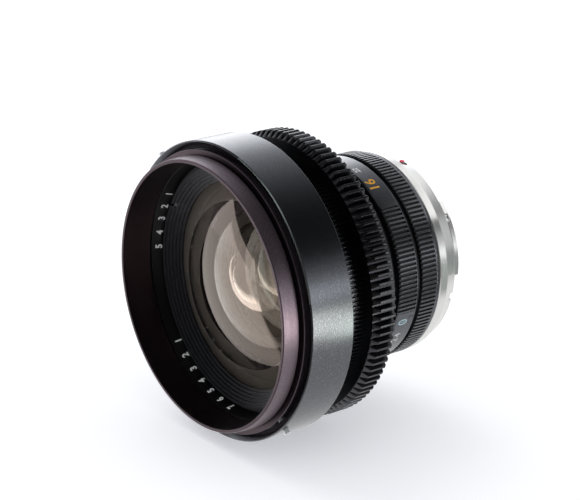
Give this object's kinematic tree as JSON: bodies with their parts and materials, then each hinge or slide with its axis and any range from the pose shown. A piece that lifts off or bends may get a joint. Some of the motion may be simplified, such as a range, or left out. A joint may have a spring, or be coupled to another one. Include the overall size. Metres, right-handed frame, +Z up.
{
  "type": "wide-angle prime lens",
  "caption": "Wide-angle reflex lens rehoused for film work, with hood and clamp-on front ring, toothed focusing ring, ribbed scale and aperture rings, iris and bayonet mount.",
  "frame": {"origin": "centre of the mount's register face, on the optical axis", "axes": "+Y is the optical axis towards the camera, so the front looks along -Y; +Z is up as the lens lies in the picture, with the red mounting dot 14.6 degrees from +Z towards +X"},
  "size_m": [0.09, 0.078, 0.09],
  "materials": {
    "anodised_black_satin": "satin black anodised, turned",
    "anodised_hood": "satin black anodised with a faint violet cast, fine turned grain",
    "anodised_black_matt": "matt black anodised",
    "gear_black": "black anodised, bevels bright",
    "steel": "turned steel",
    "chrome": "satin chrome on brass",
    "brass": "turned brass",
    "blade_steel": "blackened spring steel",
    "red_plastic": "gloss",
    "coated_glass": "polished and coated"
  },
  "bodies": {
    "mount_body": {"bayonet_mount": "chrome", "index_dot": "red_plastic", "mount_screws": "steel", "mount_adapter": "chrome", "rear_baffle": "anodised_black_matt", "rear_barrel": "anodised_black_matt", "scale_ring": "anodised_black_satin", "bearing_tube": "anodised_black_matt", "guide_key": "steel", "key_screws": "steel", "focus_retaining_ring": "anodised_black_matt"},
    "focus_body": {"focus_ring": "anodised_black_satin", "focus_gear": "gear_black", "gear_set_screws": "steel", "focus_stop_pin": "steel"},
    "optics_body": {"front_hood_ring": "anodised_hood", "front_collar": "anodised_black_satin", "collar_screws": "steel", "number_ring": "anodised_black_matt", "front_retainer": "anodised_black_matt", "front_barrel": "anodised_black_matt", "helicoid_sleeve": "brass", "lens_barrel": "anodised_black_matt", "second_retainer": "anodised_black_matt", "third_retainer": "anodised_black_matt", "iris_housing": "anodised_black_matt", "iris_retaining_ring": "anodised_black_matt", "rear_cell": "anodised_black_matt", "rear_spacer_1": "anodised_black_matt", "rear_spacer_2": "anodised_black_matt", "rear_spacer_3": "anodised_black_matt", "rear_retainer": "anodised_black_matt", "front_element": "coated_glass", "second_element": "coated_glass", "third_element": "coated_glass", "fourth_element": "coated_glass", "fifth_element": "coated_glass", "sixth_element": "coated_glass", "seventh_element": "coated_glass", "eighth_element": "coated_glass", "ninth_element": "coated_glass"},
    "aperture_body": {"aperture_ring": "anodised_black_satin", "aperture_fork": "steel"},
    "iris_ring_body": {"iris_drive_ring": "brass", "iris_post": "steel"},
    "blade_1_body": {"iris_blade_1": "blade_steel"},
    "blade_2_body": {"iris_blade_2": "blade_steel"},
    "blade_3_body": {"iris_blade_3": "blade_steel"},
    "blade_4_body": {"iris_blade_4": "blade_steel"},
    "blade_5_body": {"iris_blade_5": "blade_steel"},
    "blade_6_body": {"iris_blade_6": "blade_steel"}
  },
  "joints": [
    {"name": "focus_turn", "type": "hinge", "parent": "mount_body", "child": "focus_body", "pos_m": [0, -0.036, 0], "axis": [0, -1, 0], "range_deg": [0, 120]},
    {"name": "optics_slide", "type": "slide", "parent": "mount_body", "child": "optics_body", "axis": [0, -1, 0], "range_m": [0, 0.0017]},
    {"name": "aperture_turn", "type": "hinge", "parent": "mount_body", "child": "aperture_body", "pos_m": [0, -0.011, 0], "axis": [0, -1, 0], "range_deg": [0, 48]},
    {"name": "iris_drive_turn", "type": "hinge", "parent": "optics_body", "child": "iris_ring_body", "pos_m": [0, -0.0293, 0], "axis": [0, -1, 0], "range_deg": [0, 48]},
    {"name": "blade_1_swing", "type": "hinge", "parent": "optics_body", "child": "blade_1_body", "pos_m": [0.0182, -0.0315, 0], "axis": [0, -1, 0], "range_deg": [0, 24.45]},
    {"name": "blade_2_swing", "type": "hinge", "parent": "optics_body", "child": "blade_2_body", "pos_m": [0.0091, -0.0315, 0.01576], "axis": [0, -1, 0], "range_deg": [0, 24.45]},
    {"name": "blade_3_swing", "type": "hinge", "parent": "optics_body", "child": "blade_3_body", "pos_m": [-0.0091, -0.0315, 0.01576], "axis": [0, -1, 0], "range_deg": [0, 24.45]},
    {"name": "blade_4_swing", "type": "hinge", "parent": "optics_body", "child": "blade_4_body", "pos_m": [-0.0182, -0.0315, 0], "axis": [0, -1, 0], "range_deg": [0, 24.45]},
    {"name": "blade_5_swing", "type": "hinge", "parent": "optics_body", "child": "blade_5_body", "pos_m": [-0.0091, -0.0315, -0.01576], "axis": [0, -1, 0], "range_deg": [0, 24.45]},
    {"name": "blade_6_swing", "type": "hinge", "parent": "optics_body", "child": "blade_6_body", "pos_m": [0.0091, -0.0315, -0.01576], "axis": [0, -1, 0], "range_deg": [0, 24.45]}
  ],
  "couplings": [
    {"joint": "optics_slide", "follows": "focus_turn", "m_per_rad": 0.00081169},
    {"joint": "iris_drive_turn", "follows": "aperture_turn", "ratio": 1},
    {"joint": "blade_1_swing", "follows": "aperture_turn", "ratio": 0.50885},
    {"joint": "blade_2_swing", "follows": "aperture_turn", "ratio": 0.50885},
    {"joint": "blade_3_swing", "follows": "aperture_turn", "ratio": 0.50885},
    {"joint": "blade_4_swing", "follows": "aperture_turn", "ratio": 0.50885},
    {"joint": "blade_5_swing", "follows": "aperture_turn", "ratio": 0.50885},
    {"joint": "blade_6_swing", "follows": "aperture_turn", "ratio": 0.50885}
  ]
}
